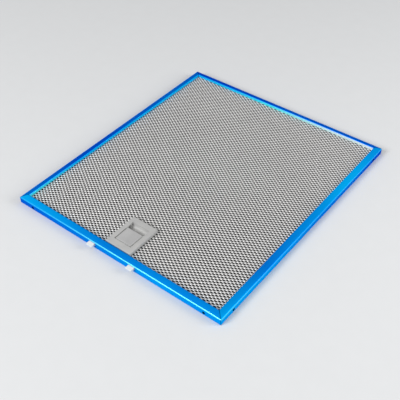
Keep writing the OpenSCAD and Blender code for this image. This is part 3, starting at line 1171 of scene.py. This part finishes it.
@dataclass
class Frame:
    """The four bars and the brackets in their corners."""

    wall_flat: float = 7.1 * MM
    bar_w: float = 7.4 * MM
    cast: BareMetal = BareMetal(
        "cast_bracket", (0.10, 0.10, 0.11), (0.06, 0.06, 0.07), roughness=0.5, grain_scale=700.0
    )
    # Each bar's shares of painted reflection and light on flange and wall, and of the painted
    # highlights on lip and crease; the right bar's crease highlight is painted lower, on the top of
    # its wall.
    bars: dict[str, PaintedBarLight] = field(
        default_factory=lambda: {
            "front": PaintedBarLight(
                Way.ALONG_X,
                flange=(0.98, 0.70, 0.44, 0.50, 0.46),
                wall=(0.10, 0.36, 0.61, 0.80, 0.68),
                lip=(0.0, 0.0),
                crease=(0.0, 0.3, 1.0, 0.9, 0.9),
            ),
            "back": PaintedBarLight(
                Way.ALONG_X,
                flange=(0.05, 0.02, 0.08, 0.14, 0.24),
                wall=(0.1, 0.2),
                lip=(0.0, 0.1, 0.45, 0.85, 1.0),
                crease=(0.0, 0.2),
            ),
            "left": PaintedBarLight(
                Way.ALONG_Y,
                flange=(0.34, 0.12, 0.08, 0.16, 0.32),
                wall=(0.2, 0.2),
                lip=(0.4, 0.0, 0.0, 0.0, 0.0),
                crease=(0.0, 0.0),
            ),
            "right": PaintedBarLight(
                Way.ALONG_Y,
                flange=(0.75, 0.24, 0.53, 1.0, 0.75),
                wall=(1.0, 0.85, 0.5, 0.3, 0.1),
                lip=(0.0, 0.0),
                crease=(0.9, 0.35, 0.1, 0.0, 0.0),
                band=(6.3 * MM, 7.8 * MM),
            ),
        }
    )

    def build(self) -> None:
        """Adds the bars and brackets with their finishes."""
        half_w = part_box("frame_bar_right")[1].x
        half_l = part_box("frame_bar_back")[1].y
        for place, tones in self.bars.items():
            node, piece = "frame_bar_" + place, "bar_" + place
            metal = SatinFrameMetal(
                "metal_" + piece, tones, half_w, half_l, self.wall_flat, self.bar_w
            )
            add_piece(piece, refined_copy(node), Body.FILTER, metal.material(), (node,))
        cast = self.cast.material()
        for node in (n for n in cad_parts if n.startswith("corner_bracket")):
            piece = node.replace("corner_", "")
            add_piece(piece, refined_copy(node), Body.FILTER, cast, (node,))


@dataclass
class Spring:
    """A compression spring along Y, with its end turns wound flat."""

    node: str
    wire: float = 0.5 * MM
    turns: int = 8
    steps_to_turn: int = 20
    sides: int = 8

    def mesh(self) -> bpy.types.Mesh:
        """The wire, as a ring of points that is carried round a helix.

        The helix has a radius of half the coil less half the wire. It climbs one wire per turn in
        the first and last turn, and evenly in between. Each end is closed by its own ring.

        Returns:
            The mesh.
        """
        low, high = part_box(self.node)
        middle_x, middle_z = (low.x + high.x) / 2, (low.z + high.z) / 2
        radius = (high.x - low.x - self.wire) / 2
        length = high.y - low.y - self.wire
        count = self.turns * self.steps_to_turn + 1
        turned = np.linspace(0.0, self.turns, count)
        knots = [0, 1, self.turns - 1, self.turns]
        climb = np.interp(turned, knots, [0, self.wire, length - self.wire, length])
        angle = 2 * np.pi * turned[:, None]
        ring = 2 * np.pi * np.arange(self.sides) / self.sides
        reach = radius + self.wire / 2 * np.cos(ring)
        points = np.empty((count, self.sides, 3))
        points[..., 0] = middle_x + reach * np.cos(angle)
        points[..., 1] = low.y + self.wire / 2 + climb[:, None] + self.wire / 2 * np.sin(ring)
        points[..., 2] = middle_z + reach * np.sin(angle)
        number = np.arange(count * self.sides).reshape(count, self.sides)
        beside = np.roll(number, -1, axis=1)
        quads = np.stack([number[:-1], number[1:], beside[1:], beside[:-1]], axis=-1)
        tube = mesh_from(self.node + "_wire", points.reshape(-1, 3), quads.reshape(-1, 4))
        made = closed_ends(tube)
        made.shade_smooth()
        return made


@dataclass
class Latch:
    """The tray, the bezel, the slider with its pad, and the springs.

    A moulding's finish has the name of its slot.
    """

    # The bezel's and the pad's third colour is painted light on the recess walls and round the pad.
    bezel: MouldedPlastic = MouldedPlastic(
        "bezel_plastic", (0.49, 0.49, 0.48), (0.41, 0.41, 0.41), (0.66, 0.66, 0.65)
    )
    tray: MouldedPlastic = MouldedPlastic("tray_plastic", (0.80, 0.80, 0.80), (0.72, 0.72, 0.72))
    slider: MouldedPlastic = MouldedPlastic(
        "slider_plastic", (0.80, 0.83, 0.84), (0.73, 0.76, 0.77)
    )
    pad: MouldedPlastic = MouldedPlastic(
        "pad_plastic", (0.46, 0.46, 0.46), (0.39, 0.39, 0.39), (0.80, 0.80, 0.79),
        inner_from=9.6 * MM, inner_to=8.6 * MM,
    )
    wire: BareMetal = BareMetal(
        "spring_wire", (0.62, 0.62, 0.64), (0.5, 0.5, 0.52), roughness=0.25, grain_scale=1500.0
    )
    springs: tuple[str, ...] = ("spring_left", "spring_right")
    spring_keep: float = 0.52

    def build(self) -> None:
        """Adds the latch's pieces with their finishes."""
        mouldings = (
            ("bezel", "latch_bezel", Body.FILTER, self.bezel),
            ("tray", "latch_base", Body.FILTER, self.tray),
            ("slider", "latch_slider", Body.SLIDER, self.slider),
            ("pad", "latch_pad", Body.SLIDER, self.pad),
        )
        for name, node, body, finish in mouldings:
            add_piece(name, refined_copy(node), body, finish.material(), (node,))
        wire = self.wire.material()
        for name in self.springs:
            node = "latch_" + name
            mesh = Spring(node).mesh()
            piece = add_piece(name, mesh, Body.FILTER, wire, (node,))
            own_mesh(piece)


@dataclass(frozen=True)
class Lamp:
    """A square soft lamp that faces the filter, with its place and side in metres."""

    name: str
    place: Point
    side: float
    watts: float

    def build(self) -> None:
        """Adds the lamp."""
        data = bpy.data.lights.new(self.name, "AREA")
        data.size = self.side
        data.energy = self.watts
        lamp = add_object(self.name, data)
        lamp.location = self.place
        lamp.rotation_euler = Vector(self.place).to_track_quat("Z", "Y").to_euler()


@dataclass
class Studio:
    """Pale floor, soft light from the front, and the camera of the photograph."""

    camera_place: Vector = field(default_factory=lambda: Vector((360.46, -460.98, 510.46)) * MM)
    camera_aim: Vector = field(default_factory=lambda: Vector((16.65, -33.67, 0.0)) * MM)
    camera_roll: float = math.radians(-1.054)
    lens: float = 63.11
    clip: tuple[float, float] = (0.01, 20.0)
    floor_half: float = 3.0
    floor_colour: Colour = (0.76, 0.77, 0.78)
    floor_shade: float = 0.97
    world_strength: float = 0.44
    lamps: tuple[Lamp, ...] = (
        Lamp("key", (-0.60, -1.72, 1.27), side=0.9, watts=34.0),
        Lamp("side", (1.10, 0.45, 0.55), side=0.6, watts=8.0),
    )

    def add_camera(self) -> None:
        """Adds the camera: it looks at camera_aim, then turns by camera_roll about its own axis."""
        data = bpy.data.cameras.new("camera")
        data.lens = self.lens
        data.clip_start, data.clip_end = self.clip
        camera = add_object("camera", data)
        turn = (self.camera_aim - self.camera_place).to_track_quat("-Z", "Y").to_matrix().to_4x4()
        roll = Matrix.Rotation(self.camera_roll, 4, "Z")
        camera.matrix_world = Matrix.Translation(self.camera_place) @ turn @ roll
        bpy.context.scene.camera = camera

    def add_floor(self) -> None:
        """Adds the floor on the plane of the filter's underside."""
        signs = np.array([[-1, -1, 0], [1, -1, 0], [1, 1, 0], [-1, 1, 0]])
        mesh = mesh_from("floor", signs * self.floor_half, np.array([[0, 1, 2, 3]]))
        graph = Graph("floor_paper")
        speckle = graph.noise(graph.place(), scale=60.0, detail=3.0)
        darker = tuple(self.floor_shade * part for part in self.floor_colour)
        paper = graph.finish(
            Base_Color=graph.mixed(speckle, self.floor_colour, darker),
            Roughness=0.9,
            Specular_IOR_Level=0.1,
        )
        mesh.materials.append(paper)
        add_object("floor", mesh)

    def add_world(self) -> None:
        """Gives the world an even pale light."""
        world = bpy.data.worlds.new("studio")
        world.use_nodes = True
        light = world.node_tree.nodes["Background"].inputs
        light["Color"].default_value = (1, 1, 1, 1)
        light["Strength"].default_value = self.world_strength
        bpy.context.scene.world = world

    def build(self) -> None:
        """Adds everything round the filter."""
        self.add_camera()
        self.add_floor()
        self.add_world()
        for lamp in self.lamps:
            lamp.build()
        bpy.context.scene.view_settings.view_transform = "Standard"


def main() -> None:
    """Builds the studio, then the filter from the frame inwards."""
    logging.basicConfig(level=logging.INFO, format="%(name)s: %(message)s")
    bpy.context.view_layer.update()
    Studio().build()
    Frame().build()
    FilterPack().build()
    Latch().build()


if __name__ == "__main__":
    main()
